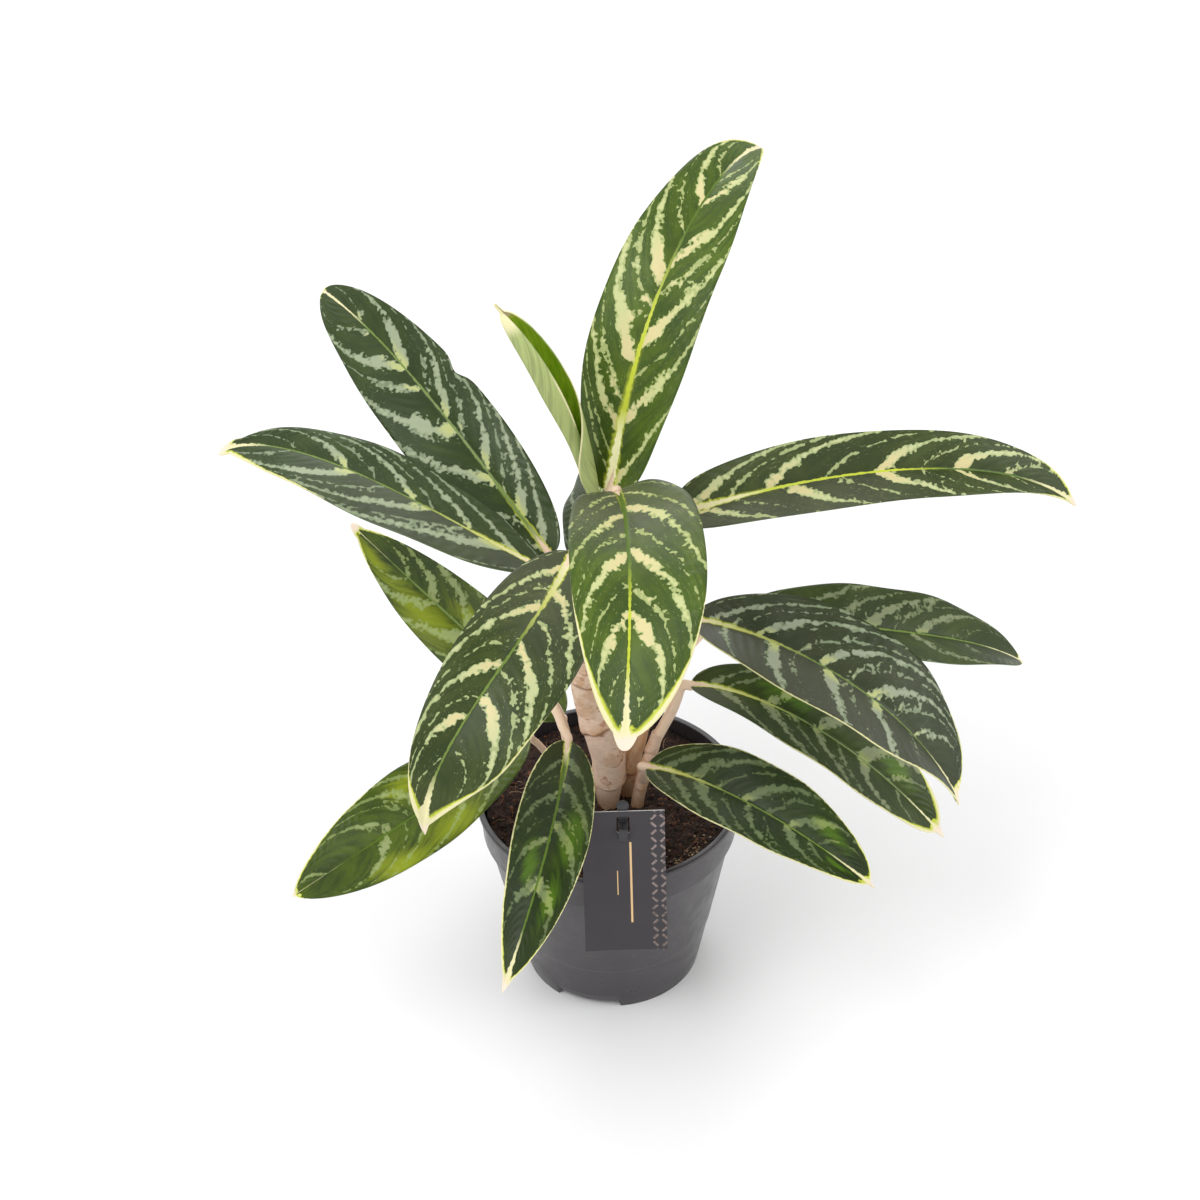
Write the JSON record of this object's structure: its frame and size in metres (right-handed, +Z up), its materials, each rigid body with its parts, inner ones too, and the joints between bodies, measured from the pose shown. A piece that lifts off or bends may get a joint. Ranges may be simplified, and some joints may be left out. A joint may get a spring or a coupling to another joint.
{
  "type": "potted chinese evergreen",
  "caption": "Leafy house plant with striped green leaves on short pale canes, growing in peat in a round dark nursery pot with a plain care card.",
  "frame": {"origin": "centre of the pot's underside, on the pot's axis, at the level of the surface it stands on", "axes": "+Z up along the pot's axis, -Y towards the front of the plant where the care card leans on the rim, +X to the right seen from the front"},
  "size_m": [0.3781, 0.301, 0.377],
  "materials": {
    "pot_plastic": "dark grey moulded plastic, satin, lightly scuffed",
    "soil": "moist dark brown peat with fibres and light crumbs",
    "cane": "pale beige-pink bark with ring scars and brown creases",
    "leaf_cream_striped": "satin green leaf, cream-yellow feathered stripes, pale midrib and margin",
    "leaf_grey_striped": "satin dark green leaf, silver grey-green feathered stripes, light green midrib",
    "card": "matt charcoal printed card with a white paper edge",
    "stake_plastic": "black moulded plastic"
  },
  "bodies": {
    "root": {"pot": "pot_plastic", "soil": "soil", "cane_main": "cane", "cane_side": "cane", "cane_right": "cane", "cane_left": "cane", "leaf_top": "leaf_cream_striped", "leaf_young": "leaf_cream_striped", "leaf_back_left": "leaf_grey_striped", "leaf_left": "leaf_grey_striped", "leaf_low_back_left": "leaf_grey_striped", "leaf_front_left": "leaf_cream_striped", "leaf_front": "leaf_cream_striped", "leaf_low_left": "leaf_grey_striped", "leaf_low_front": "leaf_grey_striped", "leaf_low_right": "leaf_grey_striped", "leaf_right": "leaf_grey_striped", "leaf_under_right": "leaf_grey_striped", "leaf_back_right": "leaf_grey_striped", "leaf_upper_right": "leaf_cream_striped", "leaf_back": "leaf_grey_striped", "care_card": "card", "card_stake": "stake_plastic"}
  },
  "joints": []
}
